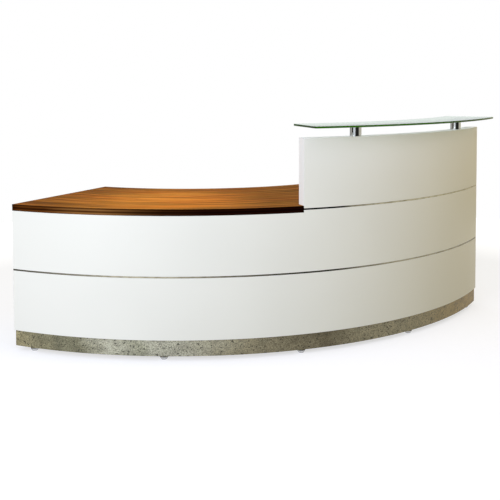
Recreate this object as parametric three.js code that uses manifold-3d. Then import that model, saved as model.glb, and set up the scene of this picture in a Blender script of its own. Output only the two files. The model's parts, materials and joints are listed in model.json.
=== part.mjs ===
// Reception desk: a quarter-circle wall with a wooden worktop behind it. The right half of the wall rises
// above the worktop and carries a glass shelf on two standoffs. Lengths are in millimetres and angles in
// degrees, +Z is up and the convex front faces -Y. The origin is on the floor, under the middle of the desk.

import * as THREE from 'three';
import { mergeVertices } from 'three/addons/utils/BufferGeometryUtils.js';
import Module from 'manifold-3d';

const wasm = await Module();
wasm.setup();

// Driving dimensions of the plan
const DESK_ARC = 90;
const FRONT_RADIUS = 1910;
const WORKTOP_DEPTH = 800;
const WALL_THICKNESS = 67;
const SKIN_THICKNESS = 12;
const END_BOARD_THICKNESS = 25;
const STILE_THICKNESS = 18;
const UPRIGHT_WIDTH = 60;
const UPRIGHT_ANGLES = [-33.75, -11.25, 11.25, 33.75];
const END_BOARD_SETBACK = 60;
const PLINTH_RECESS = 6;
const PLINTH_SHEET = 2;
const STRIP_RECESS = 1;
const EDGING_THICKNESS = 2;

// Driving dimensions of the height
const PAD_HEIGHT = 14;
const PAD_CLEARANCE = 8;
const PLINTH_HEIGHT = 79;
const LOWER_PANEL_HEIGHT = 304;
const STRIP_HEIGHT = 8;
const DESK_PANEL_HEIGHT = 295;
const WORKTOP_THICKNESS = 32;
const RAISED_HEIGHT = 334;
const TOP_CAP_THICKNESS = 18;

// Glass shelf and its standoffs
const GLASS_OVERHANG = 100;
const GLASS_DEPTH = 285;
const GLASS_THICKNESS = 10;
const GLASS_END_INSET = 0.5;
const GLASS_CORNER_RADIUS = 15;
const STANDOFF_DIAMETER = 60;
const STANDOFF_HEIGHT = 52;
const STANDOFF_CHAMFER = 1;
const STANDOFF_ANGLE = 13.1;
const DISC_DIAMETER = 54;
const DISC_THICKNESS = 3;
const BOLT_DIAMETER = 10;
const BOLT_HEAD_DIAMETER = 16;
const BOLT_HEAD_HEIGHT = 6;
const BOLT_ENGAGEMENT = 25;

// Levelling feet
const FRONT_FOOT_ANGLES = [-42, -21, 0, 21, 42];
const REAR_FOOT_SETBACK = 60;
const PAD_TOP_DIAMETER = 42;
const PAD_BASE_DIAMETER = 30;
const PAD_RIM_HEIGHT = 3;
const PAD_FLOOR = 5;
const STEM_DIAMETER = 10;
const STEM_EMBEDDED = 45;
const INSERT_DIAMETER = 14;
const INSERT_LENGTH = 25;

// Clearance between neighbouring pieces, and how finely curves are divided
const FIT_GAP = 0.3;
const MERGE_DISTANCE = 0.001;
const FACET_ANGLE = 1.5;
const ROUND_SIDES = 24;
const HIDDEN_SIDES = 12;
const CORNER_STEPS = 4;

// Radii that follow from the plan, from the front to the inner edge
const skinBack = FRONT_RADIUS - SKIN_THICKNESS;
const wallBack = FRONT_RADIUS - WALL_THICKNESS;
const backSkinFront = wallBack + SKIN_THICKNESS;
const wallMiddle = FRONT_RADIUS - WALL_THICKNESS / 2;
const plinthFront = FRONT_RADIUS - PLINTH_RECESS;
const railFront = plinthFront - PLINTH_SHEET - FIT_GAP;
const railMiddle = (railFront + wallBack) / 2;
const worktopInner = FRONT_RADIUS - WORKTOP_DEPTH;
const endBoardBack = worktopInner + END_BOARD_SETBACK;
const plinthBoardBack = endBoardBack + PLINTH_RECESS;
const rearFootRadius = plinthBoardBack + REAR_FOOT_SETBACK;
const glassFront = FRONT_RADIUS + GLASS_OVERHANG;
const glassBack = glassFront - GLASS_DEPTH;

// Levels that follow from the heights, from the floor up
const railBottom = PAD_HEIGHT + PAD_CLEARANCE;
const panelBottom = railBottom + PLINTH_HEIGHT;
const middleStripBottom = panelBottom + LOWER_PANEL_HEIGHT;
const upperPanelBottom = middleStripBottom + STRIP_HEIGHT;
const worktopBottom = upperPanelBottom + DESK_PANEL_HEIGHT;
const worktopTop = worktopBottom + WORKTOP_THICKNESS;
const upperStripBottom = (worktopBottom + worktopTop - STRIP_HEIGHT) / 2;
const raisedPanelBottom = upperStripBottom + STRIP_HEIGHT;
const wallTop = worktopTop + RAISED_HEIGHT;
const topCapBottom = wallTop - TOP_CAP_THICKNESS;
const glassBottom = wallTop + STANDOFF_HEIGHT;
const glassTop = glassBottom + GLASS_THICKNESS;

// Angles that follow from the plan: 0 is the middle of the front, where the raised half begins
const turn = THREE.MathUtils.degToRad;
const rightEnd = turn(DESK_ARC / 2);
const leftEnd = -rightEnd;
const raisedMiddle = rightEnd / 2;
const standoffAngles = [raisedMiddle - turn(STANDOFF_ANGLE), raisedMiddle + turn(STANDOFF_ANGLE)];

// Materials
const FINISHES = {
  white: { color: 0xf1f0ec, roughness: 0.45, metalness: 0 },
  walnut: { color: 0x8a5530, roughness: 0.5, metalness: 0 },
  edging: { color: 0x2b1d16, roughness: 0.5, metalness: 0 },
  timber: { color: 0xc9a877, roughness: 0.7, metalness: 0 },
  strip: { color: 0x8c8b80, roughness: 0.35, metalness: 1 },
  plinth: { color: 0x8f8a78, roughness: 0.4, metalness: 1 },
  chrome: { color: 0xdfe1e3, roughness: 0.08, metalness: 1 },
  zinc: { color: 0xa9acae, roughness: 0.4, metalness: 1 },
  glass: { color: 0xc4d8d3, roughness: 0.03, metalness: 0, transparent: true, opacity: 0.35 },
};

const desk = new THREE.Group();

function addPiece(name, finish, geometry, parent = desk) {
  const mesh = new THREE.Mesh(geometry, new THREE.MeshStandardMaterial(FINISHES[finish]));
  mesh.name = name;
  parent.add(mesh);
  return mesh;
}

// A point in plan, by its distance from the arc's centre and its angle from the middle of the front
function polar(radius, angle) {
  return new THREE.Vector2(radius * Math.sin(angle), -radius * Math.cos(angle));
}

function arcPoints(radius, from, to) {
  const steps = Math.max(1, Math.round(Math.abs(to - from) / turn(FACET_ANGLE)));
  const at = (step) => from + ((to - from) * step) / steps;
  return Array.from({ length: steps + 1 }, (_, step) => polar(radius, at(step)));
}

// The angle by which a point at this radius is turned when it lies this far beside a radial line
function besideAngle(distance, radius) {
  return Math.asin(distance / radius);
}

// How far a flat face reaches inside a faceted arc of this radius, with its two edges clear of the arc
function flatInside(radius, halfWidth) {
  const clear = radius * Math.cos(turn(FACET_ANGLE) / 2) - FIT_GAP;
  return Math.sqrt(clear * clear - halfWidth * halfWidth);
}

function extrudePlan(outline, low, high) {
  const options = { depth: high - low, bevelEnabled: false };
  return new THREE.ExtrudeGeometry(new THREE.Shape(outline), options).translate(0, 0, low);
}

// A curved board: its ends lie beside the two end lines by the given insets
function sector({ inner, outer, from, to, fromInset = 0, toInset = 0, low, high }) {
  const start = (radius) => from + besideAngle(fromInset, radius);
  const stop = (radius) => to - besideAngle(toInset, radius);
  const front = arcPoints(outer, start(outer), stop(outer));
  const back = arcPoints(inner, stop(inner), start(inner));
  return extrudePlan([...front, ...back], low, high);
}

// A straight board that lies along a radial line, from the inner radius to the outer one
function addRadialBoard(name, finish, { angle, left, right, inner, outer, low, high }) {
  const turned = new THREE.Group();
  turned.rotation.z = angle;
  desk.add(turned);
  const board = new THREE.BoxGeometry(right - left, outer - inner, high - low);
  board.translate((left + right) / 2, -(inner + outer) / 2, (low + high) / 2);
  return addPiece(name, finish, board, turned);
}

// A round piece about the vertical axis, from a profile of radius and height
function turnedPiece(profile, sides = ROUND_SIDES) {
  const points = profile.map(([radius, height]) => new THREE.Vector2(radius, height));
  return new THREE.LatheGeometry(points, sides).rotateX(Math.PI / 2);
}

function toSolid(geometry) {
  const bare = geometry.clone();
  bare.deleteAttribute('normal');
  bare.deleteAttribute('uv');
  const merged = mergeVertices(bare, MERGE_DISTANCE);
  const vertProperties = merged.attributes.position.array;
  const triVerts = new Uint32Array(merged.index.array);
  return new wasm.Manifold(new wasm.Mesh({ numProp: 3, vertProperties, triVerts }));
}

function cutHoles(geometry, cutters) {
  const left = cutters.reduce((solid, cutter) => solid.subtract(toSolid(cutter)), toSolid(geometry));
  const mesh = left.getMesh();
  const cut = new THREE.BufferGeometry();
  cut.setAttribute('position', new THREE.BufferAttribute(mesh.vertProperties, 3));
  cut.setIndex(new THREE.BufferAttribute(mesh.triVerts, 1));
  return cut;
}

// Where the feet stand: the point in plan, and what they carry
const rearBoardMiddle = PLINTH_RECESS + END_BOARD_THICKNESS / 2;
const frontFeet = FRONT_FOOT_ANGLES.map((angle, index) => ({
  name: `front_foot_${index + 1}`,
  place: polar(railMiddle, turn(angle)),
}));
const rearFeet = [
  { name: 'rear_left_foot', angle: leftEnd, beside: rearBoardMiddle },
  { name: 'rear_centre_foot', angle: 0, beside: 0 },
  { name: 'rear_right_foot', angle: rightEnd, beside: -rearBoardMiddle },
].map(({ name, angle, beside }) => ({
  name,
  beside,
  place: new THREE.Vector2(beside, -rearFootRadius).rotateAround(new THREE.Vector2(), angle),
}));

// The stepped hole over a foot: wide for the threaded insert, then room for the stem to rise
const stemTop = railBottom + STEM_EMBEDDED;
function footHole({ x, y }) {
  const insertHole = INSERT_DIAMETER / 2 + FIT_GAP;
  const stemHole = STEM_DIAMETER / 2 + FIT_GAP;
  const insertEnd = railBottom + INSERT_LENGTH + FIT_GAP;
  const stemEnd = Math.max(stemTop + PAD_CLEARANCE, insertEnd) + FIT_GAP;
  const below = railBottom - FIT_GAP;
  const profile = [[0, below], [insertHole, below], [insertHole, insertEnd], [stemHole, insertEnd]];
  return turnedPiece([...profile, [stemHole, stemEnd], [0, stemEnd]], HIDDEN_SIDES).translate(x, y, 0);
}

function addFoot({ name, place }) {
  const foot = new THREE.Group();
  foot.position.set(place.x, place.y, 0);
  desk.add(foot);
  const stem = STEM_DIAMETER / 2;
  const bore = stem + FIT_GAP;
  const insert = INSERT_DIAMETER / 2;
  const base = PAD_BASE_DIAMETER / 2;
  const rim = PAD_TOP_DIAMETER / 2;
  const rimBottom = PAD_HEIGHT - PAD_RIM_HEIGHT;
  const cup = [[0, 0], [base, 0], [rim, rimBottom], [rim, PAD_HEIGHT], [bore, PAD_HEIGHT]];
  addPiece(`${name}_pad`, 'chrome', turnedPiece([...cup, [bore, PAD_FLOOR], [0, PAD_FLOOR]]), foot);
  const stemFoot = PAD_FLOOR + FIT_GAP;
  const rod = [[0, stemFoot], [stem, stemFoot], [stem, stemTop], [0, stemTop]];
  addPiece(`${name}_stem`, 'zinc', turnedPiece(rod, HIDDEN_SIDES), foot);
  const insertTop = railBottom + INSERT_LENGTH;
  const tube = [[bore, railBottom], [insert, railBottom], [insert, insertTop], [bore, insertTop]];
  addPiece(`${name}_insert`, 'zinc', turnedPiece([...tube, [bore, railBottom]], HIDDEN_SIDES), foot);
}

// Base: curved rail with its steel cover, and a straight plinth board under each radial panel
const underPanel = panelBottom - FIT_GAP;
const endBoardInset = PLINTH_RECESS + END_BOARD_THICKNESS + FIT_GAP;
const fullArc = { from: leftEnd, to: rightEnd };
const rail = sector({
  ...fullArc,
  inner: wallBack,
  outer: railFront,
  fromInset: endBoardInset,
  toInset: endBoardInset,
  low: railBottom,
  high: underPanel,
});
addPiece('base_rail', 'timber', cutHoles(rail, frontFeet.map((foot) => footHole(foot.place))));
const plinthCover = sector({
  ...fullArc,
  inner: plinthFront - PLINTH_SHEET,
  outer: plinthFront,
  fromInset: PLINTH_RECESS,
  toInset: PLINTH_RECESS,
  low: railBottom,
  high: underPanel,
});
addPiece('plinth_cover', 'plinth', plinthCover);

function addPlinthBoard(name, { angle, left, right, outer, foot }) {
  const board = { angle, left, right, inner: plinthBoardBack, outer, low: railBottom, high: underPanel };
  const mesh = addRadialBoard(name, 'plinth', board);
  const hole = footHole(new THREE.Vector2(foot.beside, -rearFootRadius));
  mesh.geometry = cutHoles(mesh.geometry, [hole]);
}
const coverReach = flatInside(plinthFront - PLINTH_SHEET, PLINTH_RECESS + END_BOARD_THICKNESS);
const railReach = flatInside(wallBack, END_BOARD_THICKNESS / 2);
const leftSpan = { left: PLINTH_RECESS, right: PLINTH_RECESS + END_BOARD_THICKNESS };
const rightSpan = { left: -leftSpan.right, right: -leftSpan.left };
const centreSpan = { left: -END_BOARD_THICKNESS / 2, right: END_BOARD_THICKNESS / 2 };
const [leftFoot, centreFoot, rightFoot] = rearFeet;
addPlinthBoard('left_end_plinth', { angle: leftEnd, ...leftSpan, outer: coverReach, foot: leftFoot });
addPlinthBoard('centre_plinth', { angle: 0, ...centreSpan, outer: railReach, foot: centreFoot });
addPlinthBoard('right_end_plinth', { angle: rightEnd, ...rightSpan, outer: coverReach, foot: rightFoot });
[...frontFeet, ...rearFeet].forEach(addFoot);

// Radial panels under the worktop
const underWorktop = worktopBottom - FIT_GAP;
const panelHeights = { inner: endBoardBack, low: panelBottom, high: underWorktop };
const endReach = flatInside(skinBack, END_BOARD_THICKNESS);
const leftPanel = { angle: leftEnd, left: 0, right: END_BOARD_THICKNESS, outer: endReach };
const centrePanel = { angle: 0, ...centreSpan, outer: railReach };
const rightPanel = { angle: rightEnd, left: -END_BOARD_THICKNESS, right: 0, outer: endReach };
addRadialBoard('left_end_panel', 'white', { ...panelHeights, ...leftPanel });
addRadialBoard('centre_panel', 'white', { ...panelHeights, ...centrePanel });
addRadialBoard('right_end_panel', 'white', { ...panelHeights, ...rightPanel });

// Timber frame of the wall: uprights, a full-height stile where the raised half begins, and caps
const cavity = { inner: backSkinFront + FIT_GAP };
UPRIGHT_ANGLES.forEach((angle, index) => {
  const half = UPRIGHT_WIDTH / 2;
  const high = angle < 0 ? underWorktop : topCapBottom - FIT_GAP;
  const outer = flatInside(skinBack, half);
  const upright = { ...cavity, angle: turn(angle), left: -half, right: half, outer, low: panelBottom, high };
  addRadialBoard(`upright_${index + 1}`, 'timber', upright);
});
addRadialBoard('raised_left_stile', 'white', {
  ...cavity,
  angle: 0,
  left: 0,
  right: STILE_THICKNESS,
  outer: flatInside(skinBack, STILE_THICKNESS),
  low: panelBottom,
  high: wallTop,
});
addRadialBoard('raised_right_cap', 'white', {
  ...cavity,
  angle: rightEnd,
  left: -END_BOARD_THICKNESS,
  right: 0,
  outer: endReach,
  low: worktopBottom,
  high: wallTop,
});
const raisedArc = { from: 0, to: rightEnd };
const topCap = sector({
  ...raisedArc,
  inner: backSkinFront + FIT_GAP,
  outer: skinBack - FIT_GAP,
  fromInset: STILE_THICKNESS + FIT_GAP,
  toInset: END_BOARD_THICKNESS + FIT_GAP,
  low: topCapBottom,
  high: wallTop,
});
const boltHole = (angle) => {
  const { x, y } = polar(wallMiddle, angle);
  const radius = BOLT_DIAMETER / 2 + FIT_GAP;
  const low = topCapBottom - FIT_GAP;
  const high = wallTop + FIT_GAP;
  return turnedPiece([[0, low], [radius, low], [radius, high], [0, high]], HIDDEN_SIDES).translate(x, y, 0);
};
addPiece('raised_top_cap', 'white', cutHoles(topCap, standoffAngles.map(boltHole)));

// Front skins and metal strips, from the plinth up
const skin = { inner: skinBack, outer: FRONT_RADIUS };
const stripSection = { inner: skinBack, outer: FRONT_RADIUS - STRIP_RECESS };
const deskArc = { from: leftEnd, to: 0, toInset: FIT_GAP };
const lowerBand = { low: panelBottom, high: middleStripBottom - FIT_GAP };
const middleBand = { low: middleStripBottom, high: upperPanelBottom - FIT_GAP };
const deskBand = { low: upperPanelBottom, high: underWorktop };
const counterBand = { low: upperPanelBottom, high: upperStripBottom - FIT_GAP };
const upperBand = { low: upperStripBottom, high: raisedPanelBottom - FIT_GAP };
const raisedBand = { low: raisedPanelBottom, high: wallTop };
addPiece('lower_front_panel', 'white', sector({ ...skin, ...fullArc, ...lowerBand }));
addPiece('middle_strip', 'strip', sector({ ...stripSection, ...fullArc, ...middleBand }));
addPiece('desk_front_panel', 'white', sector({ ...skin, ...deskArc, ...deskBand }));
addPiece('counter_front_panel', 'white', sector({ ...skin, ...raisedArc, ...counterBand }));
addPiece('upper_strip', 'strip', sector({ ...stripSection, ...raisedArc, ...upperBand }));
addPiece('raised_front_panel', 'white', sector({ ...skin, ...raisedArc, ...raisedBand }));

// Back skins: one under the worktop between the end panels, one behind the raised wall
const backSkin = { inner: wallBack, outer: backSkinFront };
const betweenEnds = { fromInset: END_BOARD_THICKNESS + FIT_GAP, toInset: END_BOARD_THICKNESS + FIT_GAP };
const underBand = { low: panelBottom, high: underWorktop };
const behindBand = { low: worktopBottom, high: wallTop };
addPiece('lower_back_panel', 'white', sector({ ...backSkin, ...fullArc, ...betweenEnds, ...underBand }));
addPiece('raised_back_panel', 'white', sector({ ...backSkin, ...raisedArc, ...behindBand }));

// Worktop: a board cut back behind the raised wall, with edging on the edges that show
const boardFront = FRONT_RADIUS - EDGING_THICKNESS - FIT_GAP;
const boardNotch = wallBack - FIT_GAP;
const boardInner = worktopInner + EDGING_THICKNESS + FIT_GAP;
const boardEnd = (radius) => rightEnd - besideAngle(EDGING_THICKNESS + FIT_GAP, radius);
const notchSide = (radius) => -besideAngle(FIT_GAP, radius);
const board = [
  ...arcPoints(boardFront, -boardEnd(boardFront), notchSide(boardFront)),
  ...arcPoints(boardNotch, notchSide(boardNotch), boardEnd(boardNotch)),
  ...arcPoints(boardInner, boardEnd(boardInner), -boardEnd(boardInner)),
];
addPiece('worktop', 'walnut', extrudePlan(board, worktopBottom, worktopTop));
const edgingBand = { low: worktopBottom, high: worktopTop };
const frontEdging = { inner: FRONT_RADIUS - EDGING_THICKNESS, outer: FRONT_RADIUS };
const innerEdging = { inner: worktopInner, outer: worktopInner + EDGING_THICKNESS };
addPiece('front_edging', 'edging', sector({ ...frontEdging, ...deskArc, ...edgingBand }));
addPiece('inner_edging', 'edging', sector({ ...innerEdging, ...fullArc, ...edgingBand }));
addRadialBoard('left_edging', 'edging', {
  ...edgingBand,
  angle: leftEnd,
  left: 0,
  right: EDGING_THICKNESS,
  inner: boardInner,
  outer: flatInside(frontEdging.inner, EDGING_THICKNESS),
});
addRadialBoard('right_edging', 'edging', {
  ...edgingBand,
  angle: rightEnd,
  left: -EDGING_THICKNESS,
  right: 0,
  inner: boardInner,
  outer: flatInside(wallBack, EDGING_THICKNESS),
});

// Glass shelf: a curved sheet with rounded corners
function cornerPoints(radius, angle, from, to) {
  const centre = polar(radius, angle);
  const at = (step) => from + ((to - from) * step) / CORNER_STEPS;
  const point = (_, step) => polar(GLASS_CORNER_RADIUS, at(step)).add(centre);
  return Array.from({ length: CORNER_STEPS + 1 }, point);
}
const glassStart = turn(GLASS_END_INSET);
const glassEnd = rightEnd - glassStart;
const cornerFront = glassFront - GLASS_CORNER_RADIUS;
const cornerBack = glassBack + GLASS_CORNER_RADIUS;
const frontTuck = besideAngle(GLASS_CORNER_RADIUS, cornerFront);
const backTuck = besideAngle(GLASS_CORNER_RADIUS, cornerBack);
const frontLeft = glassStart + frontTuck;
const frontRight = glassEnd - frontTuck;
const backLeft = glassStart + backTuck;
const backRight = glassEnd - backTuck;
const quarter = Math.PI / 2;
const glassOutline = [
  ...arcPoints(glassFront, frontLeft, frontRight).slice(1, -1),
  ...cornerPoints(cornerFront, frontRight, frontRight, glassEnd + quarter),
  ...cornerPoints(cornerBack, backRight, glassEnd + quarter, backRight + 2 * quarter),
  ...arcPoints(glassBack, backRight, backLeft).slice(1, -1),
  ...cornerPoints(cornerBack, backLeft, backLeft + 2 * quarter, glassStart + 3 * quarter),
  ...cornerPoints(cornerFront, frontLeft, glassStart - quarter, frontLeft),
];
addPiece('glass_shelf', 'glass', extrudePlan(glassOutline, glassBottom, glassTop));

// Standoffs: a post on the top cap, a disc bonded to the glass, and a bolt from below
standoffAngles.forEach((angle, index) => {
  const number = index + 1;
  const standoff = new THREE.Group();
  const { x, y } = polar(wallMiddle, angle);
  standoff.position.set(x, y, wallTop);
  desk.add(standoff);
  const radius = STANDOFF_DIAMETER / 2;
  const waist = radius - STANDOFF_CHAMFER;
  const postTop = STANDOFF_HEIGHT - DISC_THICKNESS - FIT_GAP;
  const shank = BOLT_DIAMETER / 2;
  const bore = shank + FIT_GAP;
  const boreEnd = BOLT_ENGAGEMENT + FIT_GAP;
  const post = [
    [0, boreEnd],
    [bore, boreEnd],
    [bore, FIT_GAP],
    [waist, FIT_GAP],
    [radius, FIT_GAP + STANDOFF_CHAMFER],
    [radius, postTop - STANDOFF_CHAMFER],
    [waist, postTop],
    [0, postTop],
  ];
  addPiece(`standoff_post_${number}`, 'chrome', turnedPiece(post), standoff);
  const discBottom = STANDOFF_HEIGHT - DISC_THICKNESS;
  const discTop = STANDOFF_HEIGHT - FIT_GAP;
  const discRadius = DISC_DIAMETER / 2;
  const disc = [[0, discBottom], [discRadius, discBottom], [discRadius, discTop], [0, discTop]];
  addPiece(`standoff_disc_${number}`, 'chrome', turnedPiece(disc), standoff);
  const headTop = -TOP_CAP_THICKNESS - FIT_GAP;
  const headBottom = headTop - BOLT_HEAD_HEIGHT;
  const head = BOLT_HEAD_DIAMETER / 2;
  const bolt = [[0, headBottom], [head, headBottom], [head, headTop], [shank, headTop]];
  const boltEnd = [[shank, BOLT_ENGAGEMENT], [0, BOLT_ENGAGEMENT]];
  addPiece(`standoff_bolt_${number}`, 'zinc', turnedPiece([...bolt, ...boltEnd], HIDDEN_SIDES), standoff);
});

// The origin: on the floor, under the middle of the finished desk
const middle = new THREE.Box3().setFromObject(desk).getCenter(new THREE.Vector3());
desk.position.set(-middle.x, -middle.y, 0);

export default desk;
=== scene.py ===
"""Looks of a curved reception desk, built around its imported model.

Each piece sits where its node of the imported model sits. Lengths are in metres and angles in radians.
"""

import json
import logging
import math
from collections.abc import Sequence
from dataclasses import dataclass
from enum import Enum

import bmesh
import bpy
from mathutils import Matrix, Vector

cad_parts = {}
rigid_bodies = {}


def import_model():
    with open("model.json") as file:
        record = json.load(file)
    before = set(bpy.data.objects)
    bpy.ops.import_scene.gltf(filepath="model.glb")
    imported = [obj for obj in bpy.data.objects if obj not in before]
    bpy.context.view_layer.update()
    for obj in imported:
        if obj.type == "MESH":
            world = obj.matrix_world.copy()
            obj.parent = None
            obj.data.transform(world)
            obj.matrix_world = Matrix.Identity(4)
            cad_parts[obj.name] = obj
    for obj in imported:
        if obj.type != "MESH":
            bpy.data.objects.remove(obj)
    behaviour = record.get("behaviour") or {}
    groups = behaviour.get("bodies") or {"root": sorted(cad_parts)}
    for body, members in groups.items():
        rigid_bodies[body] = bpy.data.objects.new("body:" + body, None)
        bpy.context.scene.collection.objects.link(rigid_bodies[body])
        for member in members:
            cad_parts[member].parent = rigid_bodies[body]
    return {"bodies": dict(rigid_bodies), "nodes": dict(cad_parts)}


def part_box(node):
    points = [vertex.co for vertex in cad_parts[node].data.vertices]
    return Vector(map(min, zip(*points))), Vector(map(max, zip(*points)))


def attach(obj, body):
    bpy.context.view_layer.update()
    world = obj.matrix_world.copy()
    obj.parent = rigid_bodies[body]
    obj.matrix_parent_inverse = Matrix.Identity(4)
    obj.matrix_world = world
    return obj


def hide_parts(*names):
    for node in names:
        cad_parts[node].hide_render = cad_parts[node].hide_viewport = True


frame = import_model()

LOG = logging.getLogger("reception_desk")
DESK_BODY = "desk"
UP = Vector((0, 0, 1))

# The gap between boards, and how finely curves are cut and rounded
FIT_GAP = 0.0003
SPIN_STEP = math.radians(0.5)
ROUND_SIDES = 64
EDGE_STEPS = 2
RIM_STEPS = 4
SHARP_ANGLE = math.radians(50)
ROUNDED_ANGLE = math.radians(40)
MERGE_DISTANCE = 0.00001

# Spans of the patterns, and the lengths along the front that tones run over
NOISE = (0.3, 0.7)
NOISE_MIDDLE = 0.5
UNIT = (0.0, 1.0)
FADING = (1.0, 0.0)
WHOLE_FRONT = (-1.5, 1.5)
LEFT_FRONT = (-1.5, 0.0)
ALL_ROUND = (-math.pi, math.pi)
CLEAR = (1.0, 1.0, 1.0)

# Sockets of a Mix node that carry colours
MIX_FIRST = 6
MIX_SECOND = 7
MIX_RESULT = 2

Colour = tuple[float, float, float]
Point = tuple[float, float, float]
Span = tuple[float, float]
Profile = list[Span]
Stops = tuple[tuple[float, Colour], ...]
Shape = bmesh.types.BMesh
Elements = list[bmesh.types.BMVert | bmesh.types.BMEdge | bmesh.types.BMFace]
Socket = bpy.types.NodeSocket
Value = Socket | float | Sequence[float]


class Slot(Enum):
    """The record's material slots."""

    WHITE = "white_laminate"
    WALNUT = "walnut_top"
    EDGING = "dark_edging"
    TIMBER = "frame_timber"
    STRIP = "strip_metal"
    PLINTH = "plinth_steel"
    PLINTH_BOARD = "plinth_board"
    CHROME = "chrome"
    ZINC = "zinc_steel"
    GLASS = "clear_glass"


class Lay(Enum):
    """How a pattern lies on a piece: along the curve of the wall, or straight in the room."""

    CURVED = "curved"
    STRAIGHT = "straight"


class Rounded(Enum):
    """What a rounding works on: edges, or the corners of a flat sheet."""

    EDGES = "EDGES"
    CORNERS = "VERTICES"


@dataclass(frozen=True)
class ArcPlan:
    """The circle that the curved pieces are struck from, and the sizes that they share.

    Angles are counted from the middle of the front, where the raised half begins, towards the right end.
    """

    centre: Vector
    front: float
    half_arc: float = math.radians(45)
    depth: float = 0.8
    wall: float = 0.067
    skin: float = 0.012
    end_board: float = 0.025

    @classmethod
    def from_frame(cls) -> "ArcPlan":
        """Reads the circle from the lower front panel, which spans the whole arc."""
        low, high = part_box("lower_front_panel")
        front = (high.x - low.x) / 2 / math.sin(cls.half_arc)
        return cls(Vector(((low.x + high.x) / 2, low.y + front, 0)), front)

    @property
    def skin_back(self) -> float:
        """Radius of the back of the front panels."""
        return self.front - self.skin

    @property
    def wall_back(self) -> float:
        """Radius of the back of the wall."""
        return self.front - self.wall

    @property
    def inner(self) -> float:
        """Radius of the sitter's edge of the worktop."""
        return self.front - self.depth

    def point(self, radius: float, angle: float, height: float) -> Vector:
        """The point at a radius, at an angle from the middle of the front and at a height."""
        return self.centre + Vector((radius * math.sin(angle), -radius * math.cos(angle), height))

    @staticmethod
    def beside(distance: float, radius: float) -> float:
        """The angle that puts a point this far beside a radial line."""
        return math.asin(distance / radius)

    @staticmethod
    def flat_inside(radius: float, half_width: float) -> float:
        """How far a flat face of this half width reaches inside a circle of this radius."""
        return math.sqrt((radius - FIT_GAP) ** 2 - half_width**2)


@dataclass(frozen=True)
class Pattern:
    """A noise, by its patches to the metre, all round or along each axis, and its finer layers."""

    scale: float | Colour
    layers: int


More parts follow.
